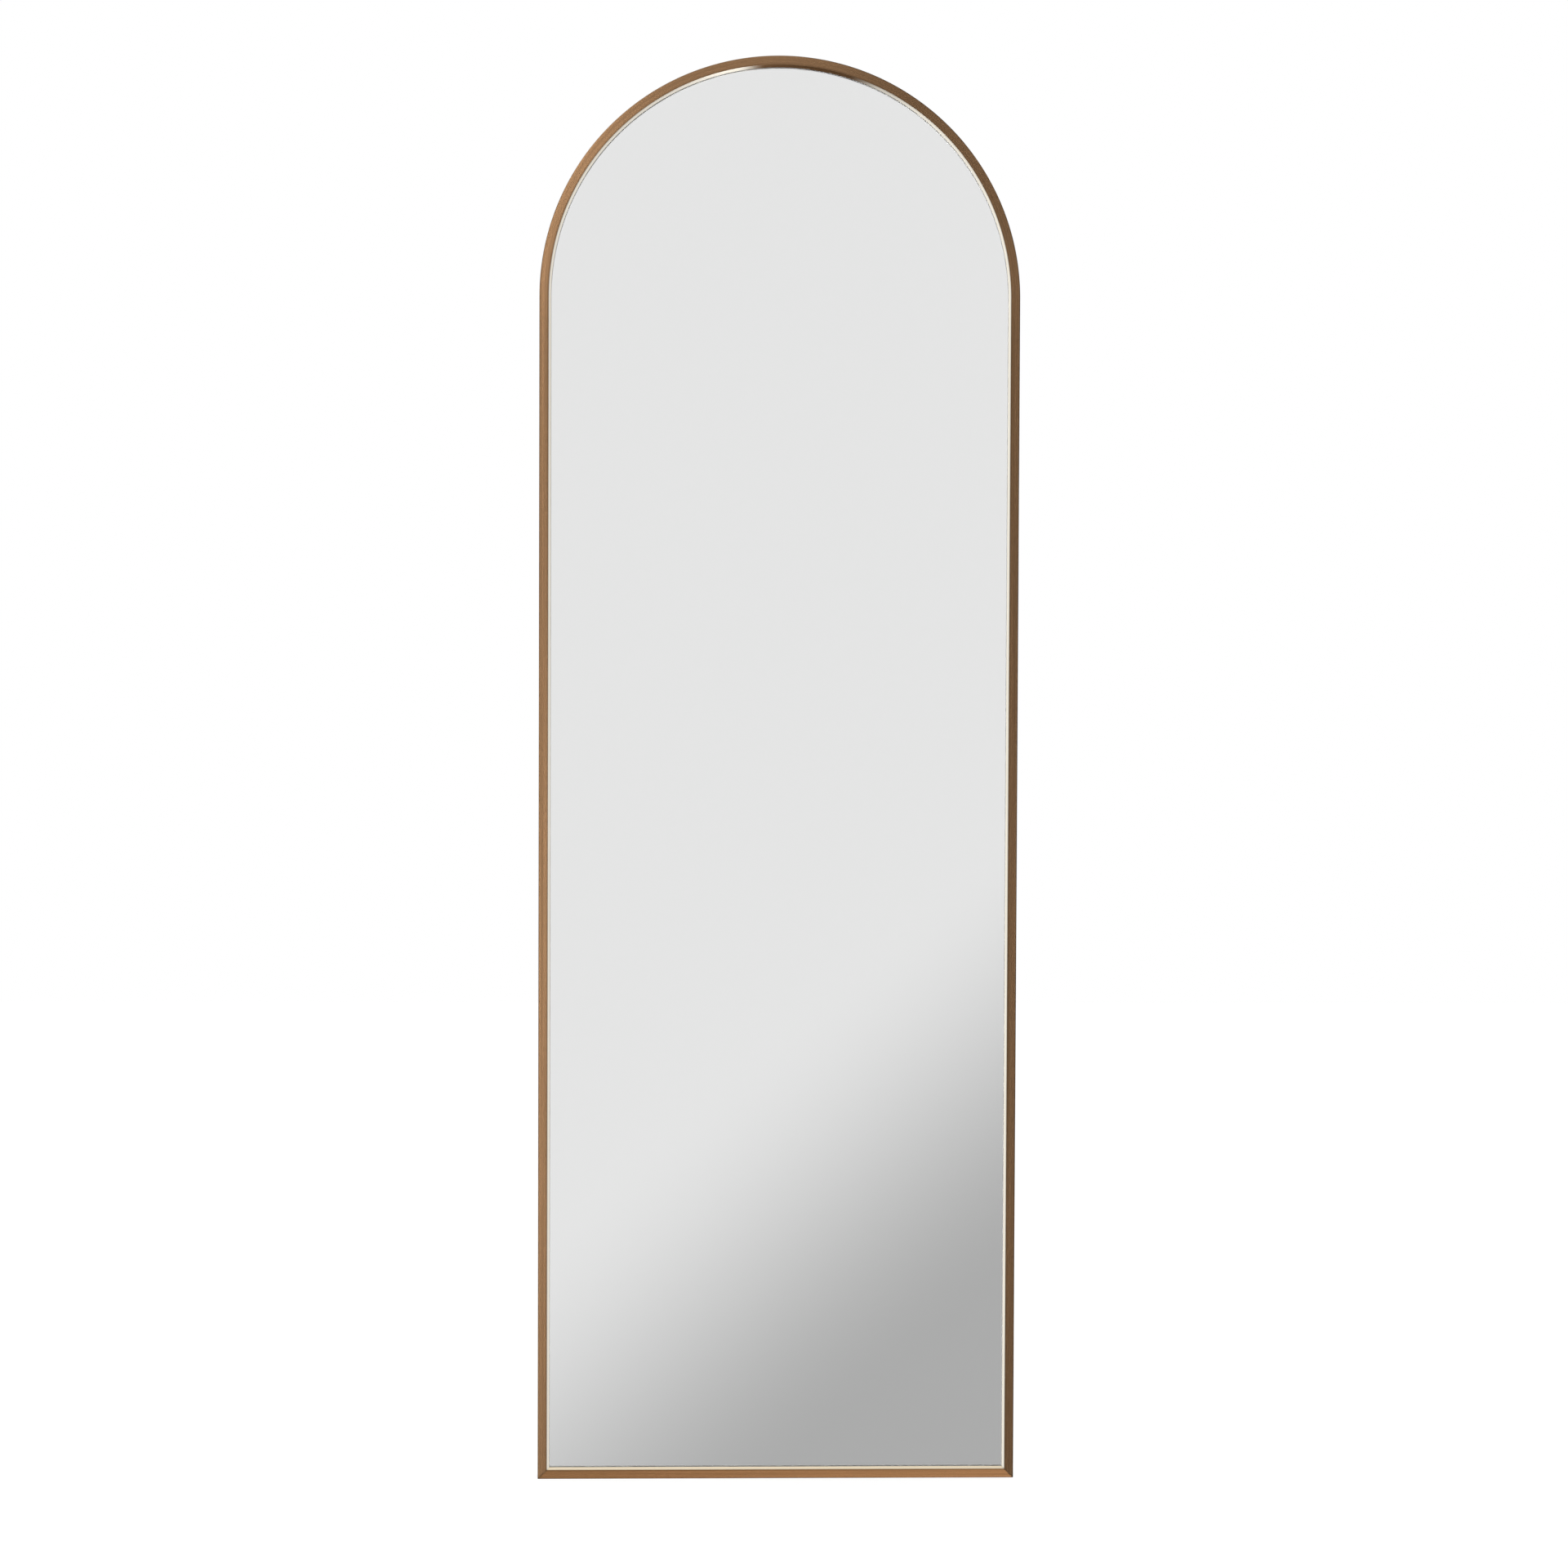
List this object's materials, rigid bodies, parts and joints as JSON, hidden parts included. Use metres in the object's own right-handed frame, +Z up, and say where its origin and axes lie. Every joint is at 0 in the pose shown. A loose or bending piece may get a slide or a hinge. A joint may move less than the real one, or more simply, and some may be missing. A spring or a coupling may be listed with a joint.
{
  "type": "arched wall mirror",
  "caption": "Tall wall mirror with a half-round top in a slim brushed metal frame, hung on hinged wire rings behind it.",
  "frame": {"origin": "on the wall plane, at the rear faces of the wall pads, midway between the hanging rings and level with their hinge line", "axes": "+Z up along the mirror's height, +Y back into the wall, so the glass faces -Y, and +X to the right as seen from the front"},
  "size_m": [0.61, 0.033, 1.8128],
  "materials": {
    "bronze_frame": "satin",
    "cast_zinc": "matte",
    "screw_steel": "satin",
    "black_rubber": "matte",
    "mirror_glass": "polished",
    "silvering": "polished",
    "safety_film": "satin",
    "white_foam": "matte",
    "fibreboard": "matte",
    "zinc_plated_steel": "satin",
    "grey_foam": "matte",
    "ring_wire": "gloss"
  },
  "bodies": {
    "mirror": {"frame_bow": "bronze_frame", "bottom_rail": "bronze_frame", "corner_key_left": "cast_zinc", "corner_key_right": "cast_zinc", "corner_screws": "screw_steel", "glazing_tape": "black_rubber", "mirror_glass": "mirror_glass", "silver_coating": "silvering", "safety_film": "safety_film", "foam_sheet": "white_foam", "backing_board": "fibreboard", "setting_blocks": "black_rubber", "edge_spacers": "black_rubber", "upper_rail": "zinc_plated_steel", "lower_rail": "zinc_plated_steel", "rail_pads": "grey_foam", "rail_screws": "screw_steel", "hanger_strap_left": "zinc_plated_steel", "hanger_strap_right": "zinc_plated_steel", "hanger_rivets": "screw_steel", "wall_bumpers": "black_rubber"},
    "ring_left": {"hanger_ring_left": "ring_wire"},
    "ring_right": {"hanger_ring_right": "ring_wire"}
  },
  "joints": [
    {"name": "ring_left_hinge", "type": "hinge", "parent": "mirror", "child": "ring_left", "pos_m": [-0.2, -0.00785, 0], "axis": [1, 0, 0], "range_deg": [0, 180]},
    {"name": "ring_right_hinge", "type": "hinge", "parent": "mirror", "child": "ring_right", "pos_m": [0.2, -0.00785, 0], "axis": [1, 0, 0], "range_deg": [0, 180]}
  ]
}
